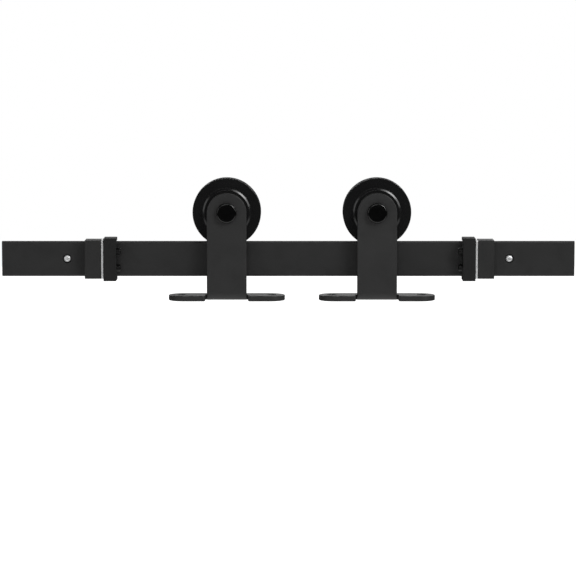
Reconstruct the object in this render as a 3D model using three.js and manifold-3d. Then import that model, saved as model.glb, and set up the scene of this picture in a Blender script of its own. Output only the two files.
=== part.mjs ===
// A flat-bar track for a sliding barn door: rail, wall fixings, two roller hangers and two end stops.
// Millimetres. +X runs along the rail, +Y points into the wall, +Z is up.
// The origin is in the wall's plane, midway between the mounting screws, at the rail's mid-height.
import * as THREE from "three";
import { mergeVertices } from "three/addons/utils/BufferGeometryUtils.js";
import Module from "manifold-3d";

// ---- Driving dimensions ----

const RAIL = { length: 650, height: 40, thickness: 6, corner: 2.2 };
const SPACER = { length: 25, radius: 10, bore: 3.5 };
const MOUNTING = { spacing: 502, shank: 2.75, wallDepth: 45, tip: 6 };
const COUNTERBORE = { radius: 5, depth: 3.2, clearanceHole: 3.3 };
const SCREW_HEAD = { radius: 4, rim: 1.4, height: 3, recessFlats: 2.8, recessDepth: 1.6 };
const SCREW_DOME = [{ share: 0.5, fall: 0.25 }, { share: 0.85, fall: 0.85 }];

const HANGER_X = [-69.6, 100.4];
const AXLE_Z = 53.2;
const ROLLING_GAP = 0.2;
const BRACKET = { width: 45, thickness: 6, frontY: -47.3, bendOutside: 9 };
const FOOT = { length: 131.6, depth: 35, frontY: -57, undersideZ: -46, corner: 2.5 };
const RELIEF = { width: 1.7, endY: -38 };
const FOOT_HOLE = { radius: 5.25, offset: 51 };

const WHEEL = { radius: 38.7, halfWidth: 10, grooveHalfWidth: 4, grooveSlope: 1.2, rimChamfer: 1 };
const HUB = { radius: 27.2, proud: 2, wall: 1, shoulder: 2.1, mouth: 12.6, rearMouth: 15 };
const BEARING = { bore: 6.15, inner: 8.4, outerInside: 11.6, outer: 14, halfWidth: 4, pitch: 10 };
const BALL = { radius: 2.2, count: 8, clearance: 0.3 };
const BALL_CAGE = { halfWidth: 1.2, halfThickness: 0.7 };
const SHIELD = { recess: 0.3, thickness: 0.6 };
const RETAINING_RING = { inner: 12.6, outer: 15.2, thickness: 1.2 };

const BOLT = {
  headRadius: 11.3, headHeight: 5.2, rim: 1.8, crown: 0.3, shank: 5.85, endY: -8.5, endChamfer: 1,
};
const SQUARE_NECK = { flats: 12, hole: 12.6, length: 5 };
const FRONT_SPACER_RADIUS = 8;
const WASHER = { radius: 8.2, thickness: 2 };
const NUT = { flats: 19, height: 8.5, collarRadius: 8.6, collarHeight: 2.5, insertRadius: 7.6 };

const STOP_FACE_X = { left: -194.6, right: 197.4 };
const BUMPER = { width: 14.4, height: 48.6, frontY: -45, rearY: -20, corner: 1.2 };
const BACKING_PLATE = { width: 2.5, frontY: -43.6, rearY: -20, corner: 1.2 };
const CLAMP = { width: 18.8, height: 43.8, frontY: -42.6, rearY: -18.6, corner: 1.2, slot: 22 };
const BUFFER = { radius: 3.9, length: 5, y: -39.6, z: 9.4, stem: 2, stemLength: 5, rim: 0.8 };
const SET_SCREW = {
  radius: 2.3, length: 5.6, tipGap: 0.1, z: 16, recessFlats: 2.5, recessDepth: 2.5, tipChamfer: 0.5,
  endChamfer: 0.3,
};
const CAP_SCREW = {
  headRadius: 3.5, headHeight: 4, sunk: 0.5, shank: 2, length: 26, y: -37, z: 14, recessFlats: 3,
  recessDepth: 2, chamfer: 0.4,
};
const RAIL_CLEARANCE = 0.4;
const FIT_GAP = 0.3;

// ---- Places that follow from the driving dimensions ----

const RAIL_BACK_Y = -SPACER.length;
const RAIL_FRONT_Y = RAIL_BACK_Y - RAIL.thickness;
const RAIL_MID_Y = (RAIL_FRONT_Y + RAIL_BACK_Y) / 2;
const RAIL_TOP_Z = RAIL.height / 2;
const GROOVE_RADIUS = AXLE_Z - RAIL_TOP_Z - ROLLING_GAP;

// How many flats stand for a full turn, or for one rounded edge.
const ROUND = { large: 32, medium: 20, small: 12 };
const FLATS = { corner: 2, bend: 6, foot: 8, boltRim: 3, ballTrack: 4, shoulder: 2 };
const BALL_FACETS = { around: 8, down: 4 };
// How far a cutting tool reaches past the face that it opens.
const PAST = 1;
// Points closer than this are one point.
const MERGE_DISTANCE = 1e-4;

// ---- Materials ----

const finish = (color, roughness, metalness) => () =>
  new THREE.MeshStandardMaterial({ color, roughness, metalness });
const powderCoat = finish(0x2f2f30, 0.55, 0.2);
const blackNylon = finish(0x161617, 0.45, 0);
const blackOxide = finish(0x0b0b0c, 0.22, 0.6);
const blackRubber = finish(0x232323, 0.75, 0);
const zincPlate = finish(0xb4b6b8, 0.35, 0.9);
const bearingSteel = finish(0xa8abae, 0.25, 1);
const collarNylon = finish(0x2d4a86, 0.5, 0);

// ---- Solids ----

const wasm = await Module();
wasm.setup();

function toSolid(geometry) {
  const bare = geometry.clone();
  bare.deleteAttribute("normal");
  bare.deleteAttribute("uv");
  const merged = mergeVertices(bare, MERGE_DISTANCE);
  return new wasm.Manifold(new wasm.Mesh({
    numProp: 3,
    vertProperties: new Float32Array(merged.attributes.position.array),
    triVerts: new Uint32Array(merged.index.array),
  }));
}

function toGeometry(solid) {
  const mesh = solid.getMesh();
  const geometry = new THREE.BufferGeometry();
  geometry.setAttribute("position", new THREE.BufferAttribute(mesh.vertProperties, 3));
  geometry.setIndex(new THREE.BufferAttribute(mesh.triVerts, 1));
  geometry.computeVertexNormals();
  return geometry;
}

function join(first, ...others) {
  return others.reduce((solid, other) => solid.add(other), first);
}

function cut(first, ...tools) {
  return tools.reduce((solid, tool) => solid.subtract(tool), first);
}

// A box between two corners.
function block(low, high) {
  const size = high.map((value, i) => value - low[i]);
  const geometry = new THREE.BoxGeometry(...size);
  geometry.translate(...low.map((value, i) => value + size[i] / 2));
  return toSolid(geometry);
}

// Turns a solid of revolution about +Y so that its axis lies along +X.
function alongX(geometry) {
  return geometry.rotateZ(-Math.PI / 2);
}

// A solid of revolution about +Y. The profile holds [radius, y] points, out along the lower end, up the
// outside, and back to the axis or down the inside.
function turned(profile, segments) {
  const points = profile.map(([radius, y]) => new THREE.Vector2(radius, y));
  return new THREE.LatheGeometry(points, segments);
}

// A round bar about +Y from one height to another, with an optional chamfer at each end.
function rod(radius, from, to, segments, startChamfer = 0, endChamfer = 0) {
  const profile = [
    [0, from],
    [radius - startChamfer, from],
    [radius, from + startChamfer],
    [radius, to - endChamfer],
    [radius - endChamfer, to],
    [0, to],
  ];
  const distinct = profile.filter(
    ([r, y], i) => i === 0 || r !== profile[i - 1][0] || y !== profile[i - 1][1],
  );
  return turned(distinct, segments);
}

// A ring about +Y.
function ring(inner, outer, from, to, segments) {
  return turned([[inner, from], [outer, from], [outer, to], [inner, to], [inner, from]], segments);
}

// A six-sided bar about +Y, given its width across flats.
function hexBar(flats, from, to) {
  const geometry = new THREE.CylinderGeometry(flats / Math.sqrt(3), flats / Math.sqrt(3), to - from, 6);
  return geometry.translate(0, (from + to) / 2, 0);
}

// Points of a circular arc about a centre in the profile's plane, from one angle to another.
function arc(centreA, centreB, radius, fromDegrees, toDegrees, steps) {
  return Array.from({ length: steps + 1 }, (_, i) => {
    const angle = THREE.MathUtils.degToRad(fromDegrees + ((toDegrees - fromDegrees) * i) / steps);
    return [centreA + radius * Math.cos(angle), centreB + radius * Math.sin(angle)];
  });
}

// A closed outline between two values of each coordinate, with all its corners rounded.
function roundedOutline(lowA, highA, lowB, highB, radius) {
  const shape = new THREE.Shape();
  shape.absarc(highA - radius, lowB + radius, radius, -Math.PI / 2, 0);
  shape.absarc(highA - radius, highB - radius, radius, 0, Math.PI / 2);
  shape.absarc(lowA + radius, highB - radius, radius, Math.PI / 2, Math.PI);
  shape.absarc(lowA + radius, lowB + radius, radius, Math.PI, 1.5 * Math.PI);
  return shape;
}

// Extrudes an outline drawn in (y, z) along +X.
function extrudeAlongX(shape, from, to, curveSegments = FLATS.corner) {
  const geometry = new THREE.ExtrudeGeometry(shape, { depth: to - from, bevelEnabled: false, curveSegments });
  const drawnToWorld = new THREE.Matrix4().makeBasis(
    new THREE.Vector3(0, 1, 0),
    new THREE.Vector3(0, 0, 1),
    new THREE.Vector3(1, 0, 0),
  );
  return toSolid(geometry.applyMatrix4(drawnToWorld).translate(from, 0, 0));
}

function named(name, geometry, material, position = [0, 0, 0]) {
  const mesh = new THREE.Mesh(geometry, material());
  mesh.name = name;
  mesh.position.set(...position);
  return mesh;
}

// ---- Track and wall fixings ----

function railGeometry() {
  const half = RAIL.height / 2;
  const section = roundedOutline(RAIL_FRONT_Y, RAIL_BACK_Y, -half, half, RAIL.corner);
  const bar = extrudeAlongX(section, -RAIL.length / 2, RAIL.length / 2);
  const holes = [-1, 1].flatMap((side) => {
    const x = (side * MOUNTING.spacing) / 2;
    const floorY = RAIL_FRONT_Y + COUNTERBORE.depth;
    return [
      rod(COUNTERBORE.radius, RAIL_FRONT_Y - PAST, floorY, ROUND.medium).translate(x, 0, 0),
      rod(COUNTERBORE.clearanceHole, floorY - PAST, RAIL_BACK_Y + PAST, ROUND.small).translate(x, 0, 0),
    ];
  });
  return toGeometry(cut(bar, ...holes.map(toSolid)));
}

function spacerGeometry() {
  return ring(SPACER.bore, SPACER.radius, -SPACER.length, 0, ROUND.medium);
}

// A domed screw: its head sits in the rail's counterbore and its point is in the wall.
function mountingScrewGeometry() {
  const seatY = RAIL_FRONT_Y + COUNTERBORE.depth;
  const topY = seatY - SCREW_HEAD.height;
  const rimY = seatY - SCREW_HEAD.rim;
  const tipY = MOUNTING.wallDepth;
  const dome = [
    [0, topY],
    ...SCREW_DOME.map(({ share, fall }) => [SCREW_HEAD.radius * share, topY + fall]),
    [SCREW_HEAD.radius, rimY],
  ];
  const shank = [
    [SCREW_HEAD.radius, seatY],
    [MOUNTING.shank, seatY],
    [MOUNTING.shank, tipY - MOUNTING.tip],
    [0, tipY],
  ];
  const body = toSolid(turned([...dome, ...shank], ROUND.small));
  const recess = toSolid(hexBar(SCREW_HEAD.recessFlats, topY - PAST, topY + SCREW_HEAD.recessDepth));
  return toGeometry(cut(body, recess));
}

function track() {
  const group = new THREE.Group();
  group.add(named("rail", railGeometry(), powderCoat));
  for (const [side, sign] of [["left", -1], ["right", 1]]) {
    const place = [(sign * MOUNTING.spacing) / 2, 0, 0];
    group.add(named(side + "_spacer", spacerGeometry(), powderCoat, place));
    group.add(named(side + "_mounting_screw", mountingScrewGeometry(), zincPlate, place));
  }
  return group;
}

// ---- Roller hanger ----
// Every piece is drawn about the axle: x and z are measured from it, and y from the wall's plane.

const UNDERSIDE = FOOT.undersideZ - AXLE_Z;
const BRACKET_BACK_Y = BRACKET.frontY + BRACKET.thickness;
const BEND_INSIDE = BRACKET.bendOutside - BRACKET.thickness;
const BEND_CENTRE_Y = BRACKET.frontY + BRACKET.bendOutside;
const BEND_CENTRE_Z = UNDERSIDE + BRACKET.bendOutside;
const BEARING_FRONT_Y = RAIL_MID_Y - BEARING.halfWidth;
const BEARING_BACK_Y = RAIL_MID_Y + BEARING.halfWidth;

// The strap, its bend and the middle of the foot, as one bent flat bar.
function bentStrap() {
  const outline = new THREE.Shape();
  const rearY = FOOT.frontY + FOOT.depth;
  outline.moveTo(BRACKET_BACK_Y, 0);
  outline.lineTo(BRACKET.frontY, 0);
  outline.lineTo(BRACKET.frontY, BEND_CENTRE_Z);
  outline.absarc(BEND_CENTRE_Y, BEND_CENTRE_Z, BRACKET.bendOutside, Math.PI, 1.5 * Math.PI);
  outline.lineTo(rearY, UNDERSIDE);
  outline.lineTo(rearY, UNDERSIDE + BRACKET.thickness);
  outline.absarc(BEND_CENTRE_Y, BEND_CENTRE_Z, BEND_INSIDE, 1.5 * Math.PI, Math.PI, true);
  const flat = extrudeAlongX(outline, -BRACKET.width / 2, BRACKET.width / 2, FLATS.bend);
  const top = toSolid(rod(BRACKET.width / 2, BRACKET.frontY, BRACKET_BACK_Y, ROUND.large));
  return join(flat, top);
}

// The T foot: a plate with full-round ends, slit each side of the strap to relieve the bend.
function footPlate() {
  const endRadius = FOOT.depth / 2;
  const endX = FOOT.length / 2 - endRadius;
  const mouthX = BRACKET.width / 2 + RELIEF.width;
  const rearY = FOOT.frontY + FOOT.depth;
  const midY = FOOT.frontY + endRadius;
  const outline = new THREE.Shape();
  outline.moveTo(-endX, rearY);
  outline.absarc(-endX, midY, endRadius, Math.PI / 2, 1.5 * Math.PI);
  outline.absarc(-mouthX - FOOT.corner, FOOT.frontY + FOOT.corner, FOOT.corner, -Math.PI / 2, 0);
  outline.lineTo(-mouthX, RELIEF.endY);
  outline.lineTo(mouthX, RELIEF.endY);
  outline.absarc(mouthX + FOOT.corner, FOOT.frontY + FOOT.corner, FOOT.corner, Math.PI, 1.5 * Math.PI);
  outline.absarc(endX, midY, endRadius, -Math.PI / 2, Math.PI / 2);
  const plate = new THREE.ExtrudeGeometry(outline, {
    depth: BRACKET.thickness, bevelEnabled: false, curveSegments: FLATS.foot,
  });
  return toSolid(plate.translate(0, 0, UNDERSIDE));
}

function bracketGeometry() {
  const upright = (geometry, x) => toSolid(geometry.rotateX(Math.PI / 2).translate(x, 0, 0));
  const holes = [-1, 1].map((side) => {
    const midY = FOOT.frontY + FOOT.depth / 2;
    const top = UNDERSIDE + BRACKET.thickness;
    const tool = rod(FOOT_HOLE.radius, UNDERSIDE - PAST, top + PAST, ROUND.medium);
    return upright(tool, side * FOOT_HOLE.offset).translate([0, midY, 0]);
  });
  const half = SQUARE_NECK.hole / 2;
  const neckHole = block([-half, BRACKET.frontY - PAST, -half], [half, BRACKET_BACK_Y + PAST, half]);
  return toGeometry(cut(join(bentStrap(), footPlate()), ...holes, neckHole));
}

// A low round head with a softened rim, a square neck and a plain shank.
function axleBoltGeometry() {
  const { headRadius, headHeight, rim, crown, shank, endY, endChamfer } = BOLT;
  const faceY = BRACKET.frontY - headHeight;
  const rimArc = arc(headRadius - rim, faceY + crown + rim, rim, -90, 0, FLATS.boltRim);
  // The face falls away as the square of the radius, so half-way out it has fallen a quarter of the crown.
  const profile = [
    [0, faceY],
    [headRadius / 2, faceY + crown / 4],
    ...rimArc,
    [headRadius, BRACKET.frontY],
    [shank, BRACKET.frontY],
    [shank, endY - endChamfer],
    [shank - endChamfer, endY],
    [0, endY],
  ];
  const half = SQUARE_NECK.flats / 2;
  const neckEnd = BRACKET.frontY + SQUARE_NECK.length;
  const neck = block([-half, BRACKET.frontY, -half], [half, neckEnd, half]);
  return toGeometry(join(toSolid(turned(profile, ROUND.medium)), neck));
}

function frontSpacerGeometry() {
  return ring(BEARING.bore, FRONT_SPACER_RADIUS, BRACKET_BACK_Y, BEARING_FRONT_Y, ROUND.small);
}

function washerGeometry() {
  return ring(BEARING.bore, WASHER.radius, BEARING_BACK_Y, BEARING_BACK_Y + WASHER.thickness, ROUND.small);
}

function lockNutGeometry() {
  const seatY = BEARING_BACK_Y + WASHER.thickness;
  const topY = seatY + NUT.height;
  const hex = toSolid(hexBar(NUT.flats, seatY, topY));
  const endY = topY + NUT.collarHeight;
  const collar = toSolid(rod(NUT.collarRadius, topY - PAST, endY, ROUND.small));
  const bore = toSolid(rod(BEARING.bore, seatY - PAST, endY + PAST, ROUND.small));
  const pocket = toSolid(rod(NUT.insertRadius + FIT_GAP, topY, endY + PAST, ROUND.small));
  return toGeometry(cut(join(hex, collar), bore, pocket));
}

// The nylon ring that grips the bolt's thread.
function nylonInsertGeometry() {
  const topY = BEARING_BACK_Y + WASHER.thickness + NUT.height;
  return ring(BEARING.bore, NUT.insertRadius, topY, topY + NUT.collarHeight - FIT_GAP, ROUND.small);
}

// The half-angle at which a ball track of a given radius meets a race's shoulder.
function trackAngle(shoulderRadius) {
  const trackRadius = BALL.radius + BALL.clearance;
  return THREE.MathUtils.radToDeg(Math.acos(Math.abs(BEARING.pitch - shoulderRadius) / trackRadius));
}

function innerRaceGeometry() {
  const angle = trackAngle(BEARING.inner);
  const trackRadius = BALL.radius + BALL.clearance;
  const ballTrack = arc(
    BEARING.pitch, RAIL_MID_Y, trackRadius, 180 + angle, 180 - angle, FLATS.ballTrack);
  return turned([
    [BEARING.bore, BEARING_FRONT_Y],
    [BEARING.inner, BEARING_FRONT_Y],
    ...ballTrack,
    [BEARING.inner, BEARING_BACK_Y],
    [BEARING.bore, BEARING_BACK_Y],
    [BEARING.bore, BEARING_FRONT_Y],
  ], ROUND.medium);
}

function outerRaceGeometry() {
  const angle = trackAngle(BEARING.outerInside);
  const trackRadius = BALL.radius + BALL.clearance;
  const ballTrack = arc(BEARING.pitch, RAIL_MID_Y, trackRadius, angle, -angle, FLATS.ballTrack);
  return turned([
    [BEARING.outerInside, BEARING_FRONT_Y],
    [BEARING.outer, BEARING_FRONT_Y],
    [BEARING.outer, BEARING_BACK_Y],
    [BEARING.outerInside, BEARING_BACK_Y],
    ...ballTrack,
    [BEARING.outerInside, BEARING_FRONT_Y],
  ], ROUND.medium);
}

// The balls and the cage that spaces them, which travel round together.
function ballCageGeometry() {
  const { halfWidth, halfThickness } = BALL_CAGE;
  const cage = toSolid(ring(BEARING.pitch - halfThickness, BEARING.pitch + halfThickness,
    RAIL_MID_Y - halfWidth, RAIL_MID_Y + halfWidth, ROUND.small));
  const balls = Array.from({ length: BALL.count }, (_, i) => {
    const angle = (2 * Math.PI * i) / BALL.count;
    const ball = new THREE.SphereGeometry(BALL.radius, BALL_FACETS.around, BALL_FACETS.down);
    return toSolid(ball.translate(
      BEARING.pitch * Math.cos(angle), RAIL_MID_Y, BEARING.pitch * Math.sin(angle)));
  });
  return toGeometry(join(cage, ...balls));
}

// A thin shield that closes the gap between the races, clear of both.
function shieldGeometry(outward) {
  const farY = RAIL_MID_Y + outward * (BEARING.halfWidth - SHIELD.recess);
  const nearY = farY - outward * SHIELD.thickness;
  return ring(BEARING.inner + FIT_GAP, BEARING.outerInside - FIT_GAP,
    Math.min(nearY, farY), Math.max(nearY, farY), ROUND.small);
}

function retainingRingGeometry() {
  const from = BEARING_BACK_Y + FIT_GAP;
  return ring(RETAINING_RING.inner, RETAINING_RING.outer, from, from + RETAINING_RING.thickness,
    ROUND.medium);
}

// The grooved wheel, with a raised hub on both faces, whose wall ends in a sloping shoulder, and a stepped
// bore for its bearing.
function wheelGeometry() {
  const { radius, halfWidth, grooveHalfWidth, grooveSlope, rimChamfer } = WHEEL;
  const y = (offset) => RAIL_MID_Y + offset;
  const hubFace = halfWidth + HUB.proud;
  const hubWall = halfWidth + HUB.wall;
  const seat = BEARING.outer + FIT_GAP;
  const grooveMouth = grooveHalfWidth + grooveSlope;
  const ringGroove = RETAINING_RING.outer + FIT_GAP;
  const ringFrom = BEARING.halfWidth;
  const ringTo = BEARING.halfWidth + 2 * FIT_GAP + RETAINING_RING.thickness;
  return turned([
    [HUB.mouth, y(-hubFace)],
    [HUB.radius - HUB.shoulder, y(-hubFace)],
    [HUB.radius, y(-hubWall)],
    [HUB.radius, y(-halfWidth)],
    [radius - rimChamfer, y(-halfWidth)],
    [radius, y(-halfWidth + rimChamfer)],
    [radius, y(-grooveMouth)],
    [GROOVE_RADIUS, y(-grooveHalfWidth)],
    [GROOVE_RADIUS, y(grooveHalfWidth)],
    [radius, y(grooveMouth)],
    [radius, y(halfWidth - rimChamfer)],
    [radius - rimChamfer, y(halfWidth)],
    [HUB.radius, y(halfWidth)],
    [HUB.radius, y(hubWall)],
    [HUB.radius - HUB.shoulder, y(hubFace)],
    [HUB.rearMouth, y(hubFace)],
    [HUB.rearMouth, y(ringTo)],
    [ringGroove, y(ringTo)],
    [ringGroove, y(ringFrom)],
    [seat, y(ringFrom)],
    [seat, y(-BEARING.halfWidth - FIT_GAP)],
    [HUB.mouth, y(-BEARING.halfWidth - FIT_GAP)],
    [HUB.mouth, y(-hubFace)],
  ], ROUND.large);
}

function hanger(side, x) {
  const group = new THREE.Group();
  const add = (name, geometry, material) => group.add(named(side + "_" + name, geometry, material));
  group.position.set(x, 0, AXLE_Z);
  add("hanger_bracket", bracketGeometry(), powderCoat);
  add("axle_bolt", axleBoltGeometry(), blackOxide);
  add("front_spacer", frontSpacerGeometry(), powderCoat);
  add("inner_race", innerRaceGeometry(), bearingSteel);
  add("ball_cage", ballCageGeometry(), bearingSteel);
  add("outer_race", outerRaceGeometry(), bearingSteel);
  add("front_shield", shieldGeometry(-1), bearingSteel);
  add("rear_shield", shieldGeometry(1), bearingSteel);
  add("retaining_ring", retainingRingGeometry(), blackOxide);
  add("wheel", wheelGeometry(), blackNylon);
  add("rear_washer", washerGeometry(), zincPlate);
  add("lock_nut", lockNutGeometry(), zincPlate);
  add("nylon_insert", nylonInsertGeometry(), collarNylon);
  return group;
}

// ---- End stop ----
// Drawn as the right-hand stop, with x measured outwards from the bumper's inner face. The left-hand
// stop is its mirror image.

const CAVITY = {
  frontY: RAIL_FRONT_Y - RAIL_CLEARANCE,
  rearY: RAIL_BACK_Y + RAIL_CLEARANCE,
  half: RAIL.height / 2 + RAIL_CLEARANCE,
};
const PLATE_X = BUMPER.width;
const CLAMP_X = PLATE_X + BACKING_PLATE.width;
const CLAMP_END_X = CLAMP_X + CLAMP.width;
const CAP_HEAD_DEPTH = CAP_SCREW.headHeight + CAP_SCREW.sunk;

// A block that straddles the rail from the front and stays open towards the wall.
function straddle(from, to, height, frontY, rearY, corner) {
  const body = extrudeAlongX(roundedOutline(frontY, rearY, -height / 2, height / 2, corner), from, to);
  const cavity = block([from - PAST, CAVITY.frontY, -CAVITY.half], [to + PAST, rearY + PAST, CAVITY.half]);
  return cut(body, cavity);
}

// A round tool along +X, for the holes that the long screws and the buffers need.
function drill(radius, from, to, y, z) {
  return toSolid(alongX(rod(radius, from, to, ROUND.small)).translate(0, y, z));
}

function bumperGeometry() {
  const body = straddle(0, BUMPER.width, BUMPER.height, BUMPER.frontY, BUMPER.rearY, BUMPER.corner);
  const screwEnd = CLAMP_END_X - CAP_HEAD_DEPTH - CAP_SCREW.length + CAP_SCREW.headHeight;
  const holes = [-1, 1].flatMap((up) => [
    drill(BUFFER.stem + FIT_GAP, -PAST, BUFFER.stemLength + FIT_GAP, BUFFER.y, up * BUFFER.z),
    drill(CAP_SCREW.shank + FIT_GAP, screwEnd - FIT_GAP, BUMPER.width + PAST, CAP_SCREW.y,
      up * CAP_SCREW.z),
  ]);
  return toGeometry(cut(body, ...holes));
}

function backingPlateGeometry() {
  const { frontY, rearY, corner } = BACKING_PLATE;
  const body = straddle(PLATE_X, CLAMP_X, CLAMP.height, frontY, rearY, corner);
  const holes = [-1, 1].map((up) =>
    drill(CAP_SCREW.shank + FIT_GAP, PLATE_X - PAST, CLAMP_X + PAST, CAP_SCREW.y, up * CAP_SCREW.z));
  return toGeometry(cut(body, ...holes));
}

// The clamp hooks behind the rail with two lips, which leave a slot for the wall spacers to pass.
function clampGeometry() {
  const half = CLAMP.height / 2;
  const outline = roundedOutline(CLAMP.frontY, CLAMP.rearY, -half, half, CLAMP.corner);
  const body = extrudeAlongX(outline, CLAMP_X, CLAMP_END_X);
  const [from, to] = [CLAMP_X - PAST, CLAMP_END_X + PAST];
  const cavity = block([from, CAVITY.frontY, -CAVITY.half], [to, CAVITY.rearY, CAVITY.half]);
  const slot = block([from, CAVITY.frontY, -CLAMP.slot / 2], [to, CLAMP.rearY + PAST, CLAMP.slot / 2]);
  const holes = [-1, 1].flatMap((up) => [
    drill(CAP_SCREW.shank + FIT_GAP, from, to, CAP_SCREW.y, up * CAP_SCREW.z),
    drill(CAP_SCREW.headRadius + FIT_GAP, CLAMP_END_X - CAP_HEAD_DEPTH, to, CAP_SCREW.y, up * CAP_SCREW.z),
    toSolid(rod(SET_SCREW.radius + FIT_GAP, RAIL_BACK_Y, CLAMP.rearY + PAST, ROUND.small)
      .translate((CLAMP_X + CLAMP_END_X) / 2, 0, up * SET_SCREW.z)),
  ]);
  return toGeometry(cut(body, cavity, slot, ...holes));
}

// A rubber stud with a stem that is pressed into the bumper.
function bufferGeometry() {
  const { radius, length, stem, stemLength, rim } = BUFFER;
  const nose = arc(radius - rim, -length + rim, rim, -90, 0, FLATS.shoulder);
  return alongX(turned([
    [0, -length],
    ...nose,
    [radius, 0],
    [stem, 0],
    [stem, stemLength],
    [0, stemLength],
  ], ROUND.small));
}

// A headless screw from the back of the clamp to the back of the rail, with a hexagonal socket.
function setScrewGeometry() {
  const { radius, length, tipGap, tipChamfer, endChamfer, recessFlats, recessDepth } = SET_SCREW;
  const tipY = RAIL_BACK_Y + tipGap;
  const endY = tipY + length;
  const body = toSolid(rod(radius, tipY, endY, ROUND.small, tipChamfer, endChamfer));
  const socket = toSolid(hexBar(recessFlats, endY - recessDepth, endY + PAST));
  return toGeometry(cut(body, socket));
}

function capScrewGeometry() {
  const { headRadius, headHeight, shank, length, recessFlats, recessDepth, chamfer } = CAP_SCREW;
  const body = toSolid(alongX(turned([
    [0, -length],
    [shank - chamfer, -length],
    [shank, -length + chamfer],
    [shank, -headHeight],
    [headRadius, -headHeight],
    [headRadius, -chamfer],
    [headRadius - chamfer, 0],
    [0, 0],
  ], ROUND.small)));
  const socket = toSolid(alongX(hexBar(recessFlats, -recessDepth, PAST)));
  return toGeometry(cut(body, socket));
}

function endStop(side) {
  const group = new THREE.Group();
  const add = (name, geometry, material, place) =>
    group.add(named(side + "_stop_" + name, geometry, material, place));
  group.position.set(STOP_FACE_X[side], 0, 0);
  group.scale.x = side === "left" ? -1 : 1;
  add("bumper", bumperGeometry(), blackRubber);
  add("backing_plate", backingPlateGeometry(), zincPlate);
  add("clamp", clampGeometry(), powderCoat);
  for (const [level, up] of [["upper", 1], ["lower", -1]]) {
    const capX = CLAMP_END_X - CAP_HEAD_DEPTH + CAP_SCREW.headHeight;
    const setX = (CLAMP_X + CLAMP_END_X) / 2;
    add(level + "_buffer", bufferGeometry(), blackRubber, [0, BUFFER.y, up * BUFFER.z]);
    add(level + "_set_screw", setScrewGeometry(), blackOxide, [setX, 0, up * SET_SCREW.z]);
    add(level + "_cap_screw", capScrewGeometry(), blackOxide, [capX, CAP_SCREW.y, up * CAP_SCREW.z]);
  }
  return group;
}

// ---- The whole track ----

const barnDoorTrack = new THREE.Group();
barnDoorTrack.add(track());
["left", "right"].forEach((side, i) => {
  barnDoorTrack.add(hanger(side, HANGER_X[i]));
  barnDoorTrack.add(endStop(side));
});

export default barnDoorTrack;
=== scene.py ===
"""The looks of a barn door track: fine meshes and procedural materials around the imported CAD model.

Pieces are drawn in millimetres in the frame's own axes (+X along the rail, +Y into the wall, +Z up),
and become metres when their meshes are made. The camera, the lights and the textures are in metres.
"""

import math

import bmesh
import bpy
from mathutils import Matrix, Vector
from mathutils.geometry import tessellate_polygon


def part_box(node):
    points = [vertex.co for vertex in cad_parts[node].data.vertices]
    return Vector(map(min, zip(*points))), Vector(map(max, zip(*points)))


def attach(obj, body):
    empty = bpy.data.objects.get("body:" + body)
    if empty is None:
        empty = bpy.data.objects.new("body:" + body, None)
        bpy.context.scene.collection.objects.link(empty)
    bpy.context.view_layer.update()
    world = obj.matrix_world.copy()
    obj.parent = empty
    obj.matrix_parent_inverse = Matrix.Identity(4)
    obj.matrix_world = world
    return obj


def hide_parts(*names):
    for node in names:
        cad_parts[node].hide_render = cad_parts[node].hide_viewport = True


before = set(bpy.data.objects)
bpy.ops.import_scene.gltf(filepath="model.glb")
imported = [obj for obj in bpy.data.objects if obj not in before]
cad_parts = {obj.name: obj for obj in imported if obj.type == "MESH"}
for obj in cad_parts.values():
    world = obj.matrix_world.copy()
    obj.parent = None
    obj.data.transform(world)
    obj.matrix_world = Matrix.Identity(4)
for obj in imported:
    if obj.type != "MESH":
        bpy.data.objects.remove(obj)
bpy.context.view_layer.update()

MM = 0.001
SIDES = {"left": -1, "right": 1}
LEVELS = ("upper", "lower")

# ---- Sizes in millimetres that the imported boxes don't give ----
# An edge, a corner or a mouth is the size of the rounding or the chamfer there. Round shapes are
# given by their radius, and square or hexagonal ones by their width across flats. Angles are in
# degrees.

RAIL = {"corner": 2.2, "end_edge": 0.35}
COUNTERBORE = {"radius": 5.0, "depth": 3.2, "mouth": 0.35, "clearance": 3.3}
SPACER = {"bore": 3.5, "edge": 0.7}
SCREW = {
    "head": 3.0,
    "rim": 1.3,
    "edge": 0.15,
    "neck": 0.3,
    "shank": 2.75,
    "root": 1.95,
    "pitch": 2.6,
    "thread_start": 4.0,
    "thread_end": 1,
    "run_in": 3.0,
    "tip": 9.0,
    "tip_curve": 1.3,
    "point": 0.05,
    "socket": 3.0,
    "socket_depth": 2.2,
}
BRACKET = {
    "width": 45.0,
    "thickness": 6.0,
    "bend": 9.0,
    "relief": 1.7,
    "edge": 0.9,
    "hole_edge": 0.35,
    "top_round": 0.999,
    "slit_round": 0.98,
}
FOOT = {
    "half_length": 65.8,
    "depth": 35.0,
    "relief_end": 16.0,
    "corner": 2.5,
    "hole": 5.25,
    "hole_offset": 51.0,
}
NECK = {"hole": 12.6, "flats": 12.0, "length": 5.0, "corner": 0.8, "edge": 0.3, "overlap": 1}
BOLT = {
    "head": 5.2,
    "rim": 1.8,
    "crown": 0.3,
    "edge": 0.15,
    "shank": 5.85,
    "root": 4.95,
    "pitch": 1.75,
    "threaded": 8,
    "thread_end": 0.6,
    "run_in": 2.0,
    "bevel": 1,
    "bevel_length": 1.1,
}
BEARING = {
    "bore": 6.15,
    "inner": 8.4,
    "outer_inside": 11.6,
    "outer": 14.0,
    "shield_gap": 0.25,
    "race_edge": 0.5,
    "shield_edge": 0.15,
}
COLLAR_EDGE = 0.3
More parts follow.
